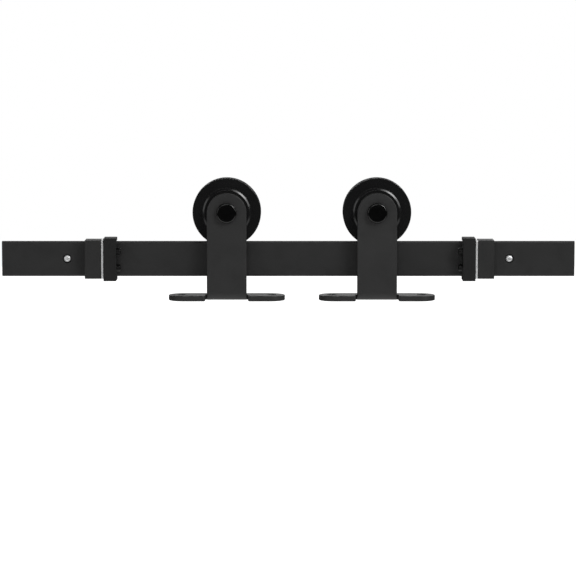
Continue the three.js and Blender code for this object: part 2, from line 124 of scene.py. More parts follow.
NUT = {
    "flats": 19.0,
    "height": 8.5,
    "bevel": 0.15,
    "bevel_start": 0.97,
    "bevel_angle": 30,
    "collar": 8.6,
    "collar_taper": 0.1,
    "collar_foot": 0.4,
    "collar_corner": 0.7,
    "insert": 7.6,
    "insert_gap": 0.15,
    "insert_floor": 0.1,
    "insert_corner": 0.2,
    "bore": 6.15,
    "bore_edge": 0.5,
    "sharp_angle": 20,
}
WHEEL = {
    "half_width": 10.0,
    "rim_edge": 0.6,
    "lip_edge": 0.5,
    "groove_half_width": 4.0,
    "groove_slope": 1.2,
    "groove_radius": 33.0,
    "front_bore": 12.6,
    "front_bore_edge": 0.3,
    "rear_bore": 15.0,
    "seat_gap": 0.3,
    "seat_front": -4.3,
    "seat_rear": 4.0,
    "ring_rear": 6.0,
    "ring_depth": 1.2,
}
HUB = {"foot": 27.2, "top": 25.3, "wall": 1.0, "edge": 0.4}
RETAINING_RING = {
    "thin": 1.3,
    "thick": 2.4,
    "edge": 0.15,
    "gap_angle": 14,
    "eye_angle": 21,
    "eye_from_axle": 13.4,
    "eye": 1.0,
    "lug_angle": 34,
    "lug_inside": 11.9,
    "lug_slope": 3,
}
HOOK = {
    "clearance": 0.4,
    "slot": 22.0,
    "rear_corner": 0.8,
    "slot_mouth": 1.0,
    "slot_corner": 0.8,
    "back_corner": 0.3,
    "side_corner": 0.7,
    "front_corner": 0.5,
}
BUFFER = {"radius": 3.9, "length": 5.0, "stem": 2.0, "nose": 1.1}
CAP_SCREW = {
    "head": 4.0,
    "head_edge": 0.5,
    "under_edge": 0.2,
    "shank": 2.0,
    "tip_edge": 0.4,
    "hole": 2.3,
    "recess": 3.8,
    "sunk": 4.5,
    "mouth": 0.4,
    "socket": 3.0,
    "socket_depth": 2,
}
SET_SCREW = {
    "hole": 2.6,
    "hole_depth": 9,
    "mouth": 0.4,
    "front_bevel": 0.5,
    "rear_bevel": 0.3,
    "pitch": 0.8,
    "thread_depth": 0.4,
    "run_in": 0.5,
    "socket": 2.5,
    "socket_depth": 2.5,
}

# A block's edge and corner, by its node's last name.
BLOCKS = {
    "clamp": {"edge": 0.6, "corner": 1.2},
    "backing_plate": {"edge": 0.5, "corner": 1.2},
    "bumper": {"edge": 0.6, "corner": 0.8},
}
# The form of a thread: how steep its flanks are, and how much of its crest stays whole.
THREAD = {"flank": 1.6, "crest": 0.1}

# How far a cutting shape stands out of the piece it cuts.
PAST = 1
# A profile's point nearer to the axis than this is on it.
ON_AXIS = 1e-6
# Faces that meet at a smaller angle than this, in degrees, are shaded smooth.
SHARP_ANGLE = 32

# ---- How finely shapes are divided ----

FINE = 96
AROUND = {
    "wheel": 160,
    "screw": 72,
    "counterbore": 64,
    "buffer": 64,
    "foot_hole": 48,
    "cap_screw": 48,
    "drill": 40,
    "set_screw": 36,
    "eye": 20,
}
ROWS_PER_TURN = {"screw": 14, "bolt": 8, "set_screw": 6}
DOME_STEPS = 10
CROWN_STEPS = 8
TIP_STEPS = 48
BEND_ROWS = 16
SPRING_STEPS = 80

# ---- View and light, in metres and watts, with the lens and its sensor in millimetres ----

CAMERA = {
    "distance": 3.0,
    "height": 0.285,
    "look_at_height": -0.0334,
    "side": -0.0003,
    "lens": 165.9,
    "sensor": 36,
}
# Each light's place, width, height and power. All of these are turned to the frame's origin.
LIGHTS = {
    "key": ((3.5, -3.4, 3.5), 2.0, 2.0, 140),
    "fill_top": ((2.4, -3.4, 4.3), 2.2, 2.2, 42),
    "fill_right": ((4.5, -3.4, 2.0), 2.2, 2.2, 48),
    "fill_left": ((-4.6, -3.4, 1.2), 3.0, 3.0, 36),
    "fill_front": ((-0.8, -5.5, 2.4), 2.5, 2.5, 42),
    "back_left": ((-2.6, 3.6, 3.4), 3.0, 3.0, 130),
    "back_right": ((1.0, 2.4, 1.5), 3.0, 1.4, 26),
}
# The floor's own light lies just above it and shines straight up.
FLOOR_LIGHT = {
    "place": (0, -0.3, -0.59),
    "above": (0, -0.3, 0),
    "width": 3.5,
    "height": 3.0,
    "power": 26,
}
WORLD = {"as_light": 0.035, "as_seen": 1.0}
# The floor's sizes are in millimetres, as a piece's are.
FLOOR = {"half_size": 6000, "height": -600, "grey": 0.9}


def box(node):
    """A CAD node's lowest and highest corners, in millimetres."""
    low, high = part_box(node)
    return low / MM, high / MM


def middle(node):
    low, high = box(node)
    return (low + high) / 2


# ---- Outlines ----


def quarter_turn(steps):
    """Angles from zero to a right angle."""
    return [math.pi / 2 * k / steps for k in range(steps + 1)]


def soften(corners, closed=True, steps=5):
    """An outline of (a, b) points, where a corner given as (a, b, radius) is rounded by an arc."""
    points = []
    count = len(corners)
    for i, corner in enumerate(corners):
        here = Vector(corner[:2])
        radius = corner[2] if len(corner) > 2 else 0
        at_end = not closed and i in (0, count - 1)
        if not radius or at_end:
            points.append(tuple(here))
            continue
        back = (Vector(corners[i - 1][:2]) - here).normalized()
        ahead = (Vector(corners[(i + 1) % count][:2]) - here).normalized()
        half = back.angle(ahead) / 2
        reach = radius / math.tan(half)
        centre = here + (back + ahead).normalized() * radius / math.sin(half)
        start = here + back * reach - centre
        end = here + ahead * reach - centre
        turn = start.angle_signed(end)
        for k in range(steps + 1):
            angle = -turn * k / steps
            spun = Vector((
                start.x * math.cos(angle) - start.y * math.sin(angle),
                start.x * math.sin(angle) + start.y * math.cos(angle),
            ))
            points.append(tuple(centre + spun))
    return points


def rounded_rectangle(low, high, corner):
    """A counter-clockwise outline between two (a, b) corners."""
    return soften([
        (low[0], low[1], corner),
        (high[0], low[1], corner),
        (high[0], high[1], corner),
        (low[0], high[1], corner),
    ])


def circle(centre, radius, steps, clockwise=False):
    sign = -1 if clockwise else 1
    angles = [sign * 2 * math.pi * k / steps for k in range(steps)]
    return [(centre[0] + radius * math.cos(t), centre[1] + radius * math.sin(t)) for t in angles]


def inset(loop, distance):
    """The loop moved to its left, which is into the material, by a distance. At a sharp corner a
    point moves further, but no more than the distance divided by sharpest."""
    sharpest = 0.3
    moved = []
    for i, point in enumerate(loop):
        here = Vector(point)
        along = (here - Vector(loop[i - 1])).normalized()
        onward = (Vector(loop[(i + 1) % len(loop)]) - here).normalized()
        normals = Vector((-along.y, along.x)) + Vector((-onward.y, onward.x))
        reach = distance / max(sharpest, normals.length / 2)
        moved.append(tuple(here + normals.normalized() * reach))
    return moved


# ---- Profiles of (radius, y) points, for turned() ----


def rod(radius, start, end):
    return [(0, start), (radius, start), (radius, end), (0, end)]


def blind_hole(radius, floor, face, mouth, outward):
    """A hole with a chamfered mouth in a face. outward is the sign of the way out of it."""
    wide = radius + mouth
    past = face + outward * PAST
    return [
        (0, floor),
        (radius, floor),
        (radius, face - outward * mouth),
        (wide, face),
        (wide, past),
        (0, past),
    ]


def rows_between(radius, start, end, spacing):
    """A straight wall, divided so that it can carry a thread."""
    count = max(2, round((end - start) / spacing))
    return [(radius, start + (end - start) * k / count) for k in range(count + 1)]


def helix_thread(root, pitch, starts_at, ends_at, run_in):
    """A thread form for turned(): the crest is the profile's own radius, and the valley is root."""

    def radius_at(radius, y, angle):
        if not starts_at <= y <= ends_at:
            return radius
        phase = (y / pitch - angle / (2 * math.pi)) % 1
        valley = min(1.0, max(0.0, THREAD["flank"] * abs(2 * phase - 1) - THREAD["crest"]))
        depth = min(1.0, (y - starts_at) / run_in)
        return radius - (radius - min(root, radius)) * valley * depth

    return radius_at


# ---- Meshes: each is (points, faces) in millimetres ----


def plate(outline, holes, thickness, edge, steps=3, hole_edge=None):
    """A flat plate of (u, v, w) points whose edges are rounded. The outline runs counter-clockwise
    and holes clockwise, and w goes from 0 to the thickness."""
    points, faces, starts = [], [], []
    for loop in [outline, *holes]:
        radius = edge if loop is outline else hole_edge or edge
        levels = [
            (radius * (1 - math.sin(t)), radius * (1 - math.cos(t)))
            for t in quarter_turn(steps)
        ]
        levels += [(shift, thickness - w) for shift, w in reversed(levels)]
        count = len(loop)
        starts.append((len(points), count))
        for shift, w in levels:
            points += [(u, v, w) for u, v in inset(loop, shift)]
        first = starts[-1][0]
        for level in range(len(levels) - 1):
            for i in range(count):
                a = first + level * count + i
                b = first + level * count + (i + 1) % count
                faces.append((a, b, b + count, a + count))
    top = len(levels) - 1
    for level in (0, top):
        indices = [first + level * count + i for first, count in starts for i in range(count)]
        loops = [
            [Vector((*points[first + level * count + i][:2], 0)) for i in range(count)]
            for first, count in starts
        ]
        for triangle in tessellate_polygon(loops):
            faces.append(tuple(indices[i] for i in triangle))
    return points, faces


def turned(profile, steps=FINE, closed=False, thread=None):
    """A solid of revolution of (x, y, z) points about +Y, from (radius, y) points. An open profile
    starts and ends on the axis. thread changes a radius as a function of radius, y and angle."""
    points, faces, rows = [], [], []
    for radius, y in profile:
        if radius < ON_AXIS:
            rows.append([len(points)])
            points.append((0, y, 0))
            continue
        rows.append(list(range(len(points), len(points) + steps)))
        for k in range(steps):
            angle = 2 * math.pi * k / steps
            r = thread(radius, y, angle) if thread else radius
            points.append((r * math.cos(angle), y, r * math.sin(angle)))
    last = len(rows) if closed else len(rows) - 1
    for i in range(last):
        low, high = rows[i], rows[(i + 1) % len(rows)]
        for k in range(steps):
            n = (k + 1) % steps
            corners = [low[k % len(low)], low[n % len(low)], high[n % len(high)], high[k % len(high)]]
            faces.append(tuple(dict.fromkeys(corners)))
    return points, faces


def ring(inner, outer, start, end, edge):
    corners = [(inner, start, edge), (outer, start, edge), (outer, end, edge), (inner, end, edge)]
    return turned(soften(corners, steps=3), closed=True)


def prism(flats, start, end):
    """A hexagonal bar about +Y."""
    return turned(rod(flats / math.sqrt(3), start, end), steps=6)


def placed(mesh, where):
    points, faces = mesh
    return [where(*p) for p in points], faces


def about(centre):
    """Moves a shape drawn about the origin so that it is drawn about a point."""
    return lambda x, y, z: (x + centre[0], y + centre[1], z + centre[2])


def on_axis_of(node):
    """Moves a shape drawn about +Y onto a node's own axis."""
    centre = middle(node)
    return about((centre.x, 0, centre.z))


def along_rail(low):
    """Turns a plate drawn in (y, z) so that its thickness runs along +X."""
    return lambda u, v, w: (low.x + w, u, v)


def bar_along_x(profile, place, steps):
    """A turned shape whose axis lies along +X through a point. A profile's second value is x."""
    shape = turned(profile, steps)
    return placed(shape, lambda x, y, z: (place[0] + y, place[1] + x, place[2] + z))


# ---- Pieces ----


def new_piece(name, mesh, material=None):
    points, faces = mesh
    data = bpy.data.meshes.new(name)
    data.from_pydata([Vector(p) * MM for p in points], [], faces)
    work = bmesh.new()
    work.from_mesh(data)
    bmesh.ops.remove_doubles(work, verts=work.verts, dist=1e-7)
    bmesh.ops.recalc_face_normals(work, faces=work.faces)
    work.to_mesh(data)
    work.free()
    piece = bpy.data.objects.new(name, data)
    bpy.context.scene.collection.objects.link(piece)
    if material:
        data.materials.append(material)
    return piece


def combine(piece, operation, *tools):
    """Cuts tools from a piece, joins them to it, or keeps only what it shares with them."""
    for tool in tools:
        other = new_piece("tool", tool)
        modifier = piece.modifiers.new("combine", "BOOLEAN")
        modifier.operation = operation
        modifier.solver = "EXACT"
        modifier.object = other
        evaluated = piece.evaluated_get(bpy.context.evaluated_depsgraph_get())
        result = bpy.data.meshes.new_from_object(evaluated)
        piece.modifiers.clear()
        old = piece.data
        piece.data = result
        bpy.data.meshes.remove(old)
        bpy.data.objects.remove(other)


def finish_piece(piece, body, node, angle=SHARP_ANGLE):
    """Sets the shading, puts the piece on the body it rides on, and hides the CAD node it takes the
    place of.
    """
    piece.data.shade_smooth()
    piece.data.set_sharp_from_angle(angle=math.radians(angle))
    normals = piece.modifiers.new("weighted_normals", "WEIGHTED_NORMAL")
    normals.keep_sharp = True
    normals.weight = 90
    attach(piece, body)
    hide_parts(node)


def stands_for(node, suffix, mesh, slot, body, *cuts, material=None):
    """Makes and finishes a piece that takes the place of one CAD node."""
    piece = new_piece(node + suffix, mesh, material or MATERIALS[slot])
    combine(piece, "DIFFERENCE", *cuts)
    finish_piece(piece, body, node)


# ---- Materials ----


class Shader:
    """A Principled material and short ways to add to its node tree."""

    # A Mix node's colour sockets, which share their names with its number sockets.
    MIX_FIRST, MIX_SECOND, MIX_RESULT = 6, 7, 2

    def __init__(self, name, color, roughness, metallic=0.0):
        self.material = bpy.data.materials.new(name)
        self.material.use_nodes = True
        self.tree = self.material.node_tree
        self.surface = self.tree.nodes["Principled BSDF"]
        self.surface.inputs["Metallic"].default_value = metallic
        self.surface.inputs["Base Color"].default_value = (*color, 1)
        self.surface.inputs["Roughness"].default_value = roughness
        self.place = self.node("ShaderNodeTexCoord").outputs["Object"]

    def node(self, kind, settings=None, **inputs):
        node = self.tree.nodes.new(kind)
        for name, value in (settings or {}).items():
            setattr(node, name, value)
        for name, value in inputs.items():
            self.feed(node.inputs[name.replace("_", " ")], value)
        return node

    def feed(self, socket, value):
        if isinstance(value, bpy.types.NodeSocket):
            self.tree.links.new(value, socket)
        else:
            socket.default_value = value

    def noise(self, scale, detail=3.0, stretch=None):
        """A noise value; scale is in features for each metre."""
        vector = self.place
        if stretch:
            vector = self.node("ShaderNodeMapping", Vector=vector, Scale=stretch).outputs["Vector"]
        made = self.node("ShaderNodeTexNoise", Vector=vector, Scale=scale, Detail=detail)
        return made.outputs["Fac"]

    def rings(self, centre, scale):
        """Fine concentric marks about an axis along +Y through a point, as a lathe leaves them."""
        location = tuple(-c for c in centre)
        moved = self.node("ShaderNodeMapping", Vector=self.place, Location=location)
        flat = self.node("ShaderNodeVectorMath", {"operation": "MULTIPLY"})
        self.feed(flat.inputs[0], moved.outputs["Vector"])
        self.feed(flat.inputs[1], (1, 0, 1))
        length = self.node("ShaderNodeVectorMath", {"operation": "LENGTH"})
        self.feed(length.inputs[0], flat.outputs["Vector"])
        made = self.node("ShaderNodeTexNoise", {"noise_dimensions": "1D"}, Scale=scale, Detail=2.0)
        self.feed(made.inputs["W"], length.outputs["Value"])
        return made.outputs["Fac"]

    def spread(self, value, low, high):
        """A noise value, most of which lies between 0.3 and 0.7, mapped to a range."""
        return self.node(
            "ShaderNodeMapRange", Value=value, From_Min=0.3, From_Max=0.7, To_Min=low, To_Max=high
        ).outputs["Result"]

    def tint(self, value, dark, light):
        """Mixes two colours by a noise value."""
        factor = self.spread(value, 0.0, 1.0)
        mix = self.node("ShaderNodeMix", {"data_type": "RGBA"})
        self.feed(mix.inputs["Factor"], factor)
        self.feed(mix.inputs[self.MIX_FIRST], (*dark, 1))
        self.feed(mix.inputs[self.MIX_SECOND], (*light, 1))
        self.feed(self.surface.inputs["Base Color"], mix.outputs[self.MIX_RESULT])

    def roughen(self, value, low, high):
        """Varies the roughness in a range by a noise value."""
        self.feed(self.surface.inputs["Roughness"], self.spread(value, low, high))

    def bump(self, *layers):
        """Surface relief from (height value, depth in metres) layers."""
        normal = None
        for height, depth in layers:
            made = self.node("ShaderNodeBump", Height=height, Distance=depth, Strength=1.0)
            if normal:
                self.feed(made.inputs["Normal"], normal)
            normal = made.outputs["Normal"]
        self.feed(self.surface.inputs["Normal"], normal)


def powder_coat(name, shade):
    """Matte black powder coat: a fine pebbled skin, slightly uneven in sheen."""
    shader = Shader(name, (shade, shade, shade), 0.5)
    shader.tint(shader.noise(14.0, 4.0), [0.86 * shade] * 3, [1.14 * shade] * 3)
    shader.roughen(shader.noise(60.0, 5.0), 0.46, 0.60)
    shader.bump((shader.noise(900.0, 3.0), 0.00005), (shader.noise(2600.0, 2.0), 0.00002))
    return shader.material


def black_nylon(name, centre):
    """Turned black nylon, with faint tool marks about the wheel's axle."""
    shader = Shader(name, (0.006, 0.006, 0.0062), 0.28)
    shader.tint(shader.noise(30.0, 3.0), (0.005, 0.005, 0.0051), (0.0075, 0.0075, 0.0077))
    shader.roughen(shader.rings(centre, 900.0), 0.18, 0.23)
    shader.bump((shader.rings(centre, 1600.0), 0.000002))
    return shader.material


def gloss_black():
    """Black oxide under oil: dark, smooth and shiny."""
    shader = Shader("gloss_black", (0.001, 0.001, 0.001), 0.2)
    shader.tint(shader.noise(120.0, 3.0), (0.0006, 0.0006, 0.0006), (0.0014, 0.0014, 0.0015))
    shader.roughen(shader.noise(240.0, 4.0), 0.12, 0.17)
    shader.bump((shader.noise(900.0, 2.0), 0.000001))
    return shader.material


def black_rubber():
    """Moulded black rubber, dull and faintly grained."""
    shader = Shader("black_rubber", (0.007, 0.007, 0.007), 0.7)
    shader.tint(shader.noise(45.0, 5.0), (0.004, 0.004, 0.004), (0.0065, 0.0065, 0.0064))
    shader.roughen(shader.noise(90.0, 4.0), 0.62, 0.78)
    shader.surface.inputs["Specular IOR Level"].default_value = 0.35
    shader.bump((shader.noise(1500.0, 4.0), 0.00004))
    return shader.material


def buffer_rubber():
    """The buffers' harder, shinier rubber."""
    shader = Shader("buffer_rubber", (0.003, 0.003, 0.003), 0.4)
    shader.tint(shader.noise(150.0, 3.0), (0.002, 0.002, 0.002), (0.0035, 0.0035, 0.0035))
    shader.roughen(shader.noise(300.0, 3.0), 0.32, 0.45)
    shader.surface.inputs["Specular IOR Level"].default_value = 0.2
    shader.bump((shader.noise(2000.0, 2.0), 0.00001))
    return shader.material


def zinc_plate():
    """Bright zinc, with a cloudy passivated film and faint upright drawing marks."""
    shader = Shader("zinc_plate", (0.72, 0.73, 0.74), 0.3, metallic=1.0)
    shader.tint(shader.noise(160.0, 5.0), (0.80, 0.81, 0.82), (0.93, 0.93, 0.92))
    shader.roughen(shader.noise(500.0, 4.0), 0.44, 0.56)
    shader.bump((shader.noise(1200.0, 3.0, stretch=(1, 1, 0.15)), 0.00001))
    return shader.material


def bearing_steel(name, centre):
    """Ground steel, marked in fine rings about the axle."""
    shader = Shader(name, (0.6, 0.61, 0.62), 0.25, metallic=1.0)
    marks = shader.rings(centre, 2600.0)
    shader.tint(marks, (0.50, 0.51, 0.52), (0.66, 0.67, 0.68))
    shader.roughen(shader.rings(centre, 1300.0), 0.18, 0.34)
    shader.bump((marks, 0.000006))
    return shader.material


def blue_nylon():
    """The nylon of a lock nut's insert, faintly mottled."""
    shader = Shader("blue_nylon", (0.03, 0.07, 0.22), 0.45)
    shader.tint(shader.noise(200.0, 3.0), (0.025, 0.06, 0.19), (0.04, 0.09, 0.26))
    shader.roughen(shader.noise(400.0), 0.38, 0.52)
    shader.bump((shader.noise(1500.0), 0.00001))
    return shader.material


MATERIALS = {
    "powder_coat": powder_coat("hanger_coat", 0.014),
    "black_oxide": gloss_black(),
    "black_rubber": black_rubber(),
    "zinc_plate": zinc_plate(),
    "blue_nylon": blue_nylon(),
}
BUFFER_RUBBER = buffer_rubber()
# The rail and the clamps get a darker copy of the hangers' black powder coat: the lower shade is
# painted shade, for the dimmer light on them.
SHADED_RAIL_COAT = powder_coat("shaded_rail_coat", 0.0092)

# ---- Camera and light ----


def aim(thing, at):
    thing.rotation_euler = (Vector(at) - thing.location).to_track_quat("-Z", "Y").to_euler()


def make_camera():
    """In front of the rail and above it, looking slightly down."""
    rail_low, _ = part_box("rail")
    data = bpy.data.cameras.new("camera")
    data.sensor_width = CAMERA["sensor"]
    data.lens = CAMERA["lens"]
    camera = bpy.data.objects.new("camera", data)
    camera.location = (CAMERA["side"], rail_low.y - CAMERA["distance"], CAMERA["height"])
    bpy.context.scene.collection.objects.link(camera)
    aim(camera, (CAMERA["side"], rail_low.y, CAMERA["look_at_height"]))
    bpy.context.scene.camera = camera


def area_light(name, location, at, width, height, power):
    data = bpy.data.lights.new(name, "AREA")
    data.shape = "RECTANGLE"
    data.size = width
    data.size_y = height
    data.energy = power
    light = bpy.data.objects.new(name, data)
    light.location = location
    light.visible_camera = False
    bpy.context.scene.collection.objects.link(light)
    aim(light, at)


def make_world():
    """White where the camera sees it, and dimmer as a light."""
    world = bpy.data.worlds.new("studio")
    bpy.context.scene.world = world
    world.use_nodes = True
    nodes, links = world.node_tree.nodes, world.node_tree.links
    background = nodes["Background"]
    background.inputs["Color"].default_value = (1, 1, 1, 1)
    rays = nodes.new("ShaderNodeLightPath")
    strength = nodes.new("ShaderNodeMapRange")
    strength.inputs["To Min"].default_value = WORLD["as_light"]
    strength.inputs["To Max"].default_value = WORLD["as_seen"]
    links.new(rays.outputs["Is Camera Ray"], strength.inputs["Value"])
    links.new(strength.outputs["Result"], background.inputs["Strength"])


def make_floor():
    """A plain pale floor well below the track, which hangs on a wall."""
    half, height, grey = FLOOR["half_size"], FLOOR["height"], FLOOR["grey"]
    corners = [
        (-half, -half, height),
        (half, -half, height),
        (half, half, height),
        (-half, half, height),
    ]
    material = bpy.data.materials.new("pale_floor")
    material.use_nodes = True
    surface = material.node_tree.nodes["Principled BSDF"]
    surface.inputs["Base Color"].default_value = (grey, grey, grey, 1)
    surface.inputs["Emission Color"].default_value = (1, 1, 1, 1)
    surface.inputs["Emission Strength"].default_value = 1.0
    floor = new_piece("floor", (corners, [(0, 1, 2, 3)]), material)
    floor.visible_diffuse = False
    floor.visible_glossy = False


def make_lights():
    for name, (place, width, height, power) in LIGHTS.items():
        area_light(name, place, (0, 0, 0), width, height, power)
    light = FLOOR_LIGHT
    area_light(
        "floor_bounce", light["place"], light["above"], light["width"], light["height"], light["power"]
    )


make_camera()
make_world()
make_floor()
make_lights()
bpy.context.scene.view_settings.view_transform = "Standard"

# ---- Track and wall fixings ----


def make_rail():
    """A flat bar with rounded long edges and a counterbored hole near each end."""
    low, high = box("rail")
    section = rounded_rectangle((low.y, low.z), (high.y, high.z), RAIL["corner"])
    body = placed(plate(section, [], high.x - low.x, RAIL["end_edge"]), along_rail(low))
    radius, clearance = COUNTERBORE["radius"], COUNTERBORE["clearance"]
    mouth = radius + COUNTERBORE["mouth"]
    floor = low.y + COUNTERBORE["depth"]
    profile = [
        (0, low.y - PAST),
        (mouth, low.y - PAST),
        (mouth, low.y),
        (radius, low.y + COUNTERBORE["mouth"]),
        (radius, floor),
        (clearance, floor),
        (clearance, high.y + PAST),
        (0, high.y + PAST),
    ]
    cuts = []
    for side in SIDES:
        place = (middle(side + "_mounting_screw").x, 0, 0)
        cuts.append(placed(turned(profile, AROUND["counterbore"]), about(place)))
    stands_for("rail", "_bar", body, "powder_coat", "root", *cuts, material=SHADED_RAIL_COAT)


def make_spacer(side):
    node = side + "_spacer"
    low, high = box(node)
    tube = ring(SPACER["bore"], (high.x - low.x) / 2, low.y, high.y, SPACER["edge"])
    stands_for(node, "_sleeve", placed(tube, on_axis_of(node)), "powder_coat", "root")


def make_mounting_screw(side):
    """A domed head with a hexagonal socket, and a coarse thread for the wall."""
    node = side + "_mounting_screw"
    low, high = box(node)
    where = on_axis_of(node)
    radius, edge = (high.x - low.x) / 2, SCREW["edge"]
    seat = low.y + SCREW["head"]
    rim = seat - SCREW["rim"]
    dome = [
        (radius * math.sin(t), rim - (rim - low.y) * math.cos(t))
        for t in quarter_turn(DOME_STEPS)
    ]
    tip_start = high.y - SCREW["tip"]
    spacing = SCREW["pitch"] / ROWS_PER_TURN["screw"]
    shank = rows_between(SCREW["shank"], seat + SCREW["neck"], tip_start, spacing)
    tip = []
    for k in range(1, TIP_STEPS):
        narrowed = SCREW["shank"] * (1 - (k / TIP_STEPS) ** SCREW["tip_curve"])
        tip.append((max(SCREW["point"], narrowed), tip_start + SCREW["tip"] * k / TIP_STEPS))
    profile = [*dome, (radius, seat - edge), (radius - edge, seat), *shank, *tip, (0, high.y)]
    thread_end = high.y - SCREW["thread_end"]
    thread = helix_thread(
        SCREW["root"], SCREW["pitch"], SCREW["thread_start"], thread_end, SCREW["run_in"]
    )
    body = placed(turned(profile, AROUND["screw"], thread=thread), where)
    socket_floor = low.y + SCREW["socket_depth"]
    socket = placed(prism(SCREW["socket"], low.y - PAST, socket_floor), where)
    stands_for(node, "_threaded", body, "zinc_plate", "root", socket)


# ---- Roller hangers ----


def bracket_blank(length):
    """The flat T that the bracket is bent from. u is x from the middle, and v runs from the foot's
    rear edge. The strap's top and the slits are a little less than fully round, so that their arcs
    don't meet. The foot's ends are fully round, which leaves a small nick in the edge at each tip."""
    half_foot, depth = FOOT["half_length"], FOOT["depth"]
    half = BRACKET["width"] / 2
    mouth = half + BRACKET["relief"]
    slit = BRACKET["relief"] / 2 * BRACKET["slit_round"]
    right = [
        (half_foot, 0, depth / 2),
        (half_foot, depth, depth / 2),
        (mouth, depth, FOOT["corner"]),
        (mouth, FOOT["relief_end"], slit),
        (half, FOOT["relief_end"], slit),
        (half, length, half * BRACKET["top_round"]),
    ]
    left = [(-u, v, r) for u, v, r in reversed(right)]
    return soften(right + left, steps=24)


def square_hole(centre, flats):
    half, (u, v) = flats / 2, centre
    corners = [
        (u - half, v - half),
        (u - half, v + half),
        (u + half, v + half),
        (u + half, v - half),
    ]
    return soften([(*corner, NECK["corner"]) for corner in corners])


def cut_rows(mesh, start, end, count):
    """Splits a plate along lines of constant v, so that it can bend there."""
    points, faces = mesh
    work = bmesh.new()
    made = [work.verts.new(p) for p in points]
    for face in faces:
        work.faces.new([made[i] for i in face])
    for k in range(count + 1):
        line = (0, start + (end - start) * k / count, 0)
        geometry = work.verts[:] + work.edges[:] + work.faces[:]
        bmesh.ops.bisect_plane(work, geom=geometry, plane_co=line, plane_no=(0, 1, 0), dist=1e-5)
    work.verts.index_update()
    result = [tuple(v.co) for v in work.verts], [tuple(v.index for v in f.verts) for f in work.faces]
    work.free()
    return result


def make_bracket(side):
    """One bent flat bar: a round-topped strap with a square hole, and a T foot with two holes."""
    node = side + "_hanger_bracket"
    low, high = box(node)
    centre = middle(node)
    axle = middle(side + "_wheel")
    thickness, bend = BRACKET["thickness"], BRACKET["bend"]
    rear_y = low.y + FOOT["depth"]
    front_y = box(side + "_axle_bolt")[0].y + BOLT["head"]
    bend_start = rear_y - front_y - bend
    neutral = bend - thickness / 2
    bend_length = neutral * math.pi / 2
    bend_end = bend_start + bend_length
    length = bend_start + bend_length + (high.z - low.z - bend)
    axle_v = length - (high.z - axle.z)
    strap_edge = (BRACKET["width"] + BRACKET["relief"]) / 2

    def bent(u, v, w):
        """w is the height above the underside before the strap is bent up."""
        x = centre.x + u
        if abs(u) > strap_edge or v <= bend_start:
            return x, rear_y - v, low.z + w
        angle = min((v - bend_start) / neutral, math.pi / 2)
        rise = max(0.0, v - bend_start - bend_length)
        radius = bend - w
        return (
            x,
            front_y + bend - radius * math.sin(angle),
            low.z + bend - radius * math.cos(angle) + rise,
        )

    holes = []
    for sign in SIDES.values():
        place = (sign * FOOT["hole_offset"], FOOT["depth"] / 2)
        holes.append(circle(place, FOOT["hole"], AROUND["foot_hole"], clockwise=True))
    holes.append(square_hole((0, axle_v), NECK["hole"]))
    outline = bracket_blank(length)
    blank = plate(
        outline, holes, thickness, BRACKET["edge"], steps=4, hole_edge=BRACKET["hole_edge"]
    )
    blank = cut_rows(blank, bend_start, bend_end, BEND_ROWS)
    stands_for(node, "_bent_plate", placed(blank, bent), "powder_coat", side + "_hanger")


def make_axle_bolt(side):
    """A low round head, a square neck that sits in the strap, and a shank threaded at its end."""
    node = side + "_axle_bolt"
    low, high = box(node)
    where = on_axis_of(node)
    radius, edge, shank = (high.x - low.x) / 2, BOLT["edge"], BOLT["shank"]
    under = low.y + BOLT["head"]
    crown, rim = BOLT["crown"], BOLT["rim"]
    flat = radius - rim
    face = [
        (flat * k / CROWN_STEPS, low.y + crown * (k / CROWN_STEPS) ** 2)
        for k in range(CROWN_STEPS)
    ]
    face += [
        (flat + rim * math.sin(t), low.y + crown + rim * (1 - math.cos(t)))
        for t in quarter_turn(DOME_STEPS)
    ]
    face += [(radius, under - edge), (radius - edge, under), (shank, under)]
    threaded_from = high.y - BOLT["threaded"]
    spacing = BOLT["pitch"] / ROWS_PER_TURN["bolt"]
    rows = rows_between(shank, threaded_from, high.y - BOLT["bevel_length"], spacing)
    profile = [*face, *rows, (shank - BOLT["bevel"], high.y), (0, high.y)]
    thread_end = high.y - BOLT["thread_end"]
    thread = helix_thread(BOLT["root"], BOLT["pitch"], threaded_from, thread_end, BOLT["run_in"])
    shape = placed(turned(profile, thread=thread), where)
    piece = new_piece(node + "_turned", shape, MATERIALS["black_oxide"])

    half, overlap = NECK["flats"] / 2, NECK["overlap"]
    outline = rounded_rectangle((-half, -half), (half, half), NECK["corner"])
    neck = plate(outline, [], NECK["length"] + overlap, NECK["edge"])
    neck = placed(neck, lambda u, v, w: (u, under - overlap + w, v))
    combine(piece, "UNION", placed(neck, where))
    finish_piece(piece, side + "_hanger", node)


def make_collars(side):
    """The plain rings on the axle: front spacer and rear washer."""
    for name, suffix, slot in (
        ("_front_spacer", "_sleeve", "powder_coat"),
        ("_rear_washer", "_disc", "zinc_plate"),
    ):
        node = side + name
        low, high = box(node)
        shape = ring(BEARING["bore"], (high.x - low.x) / 2, low.y, high.y, COLLAR_EDGE)
        stands_for(node, suffix, placed(shape, on_axis_of(node)), slot, side + "_hanger")


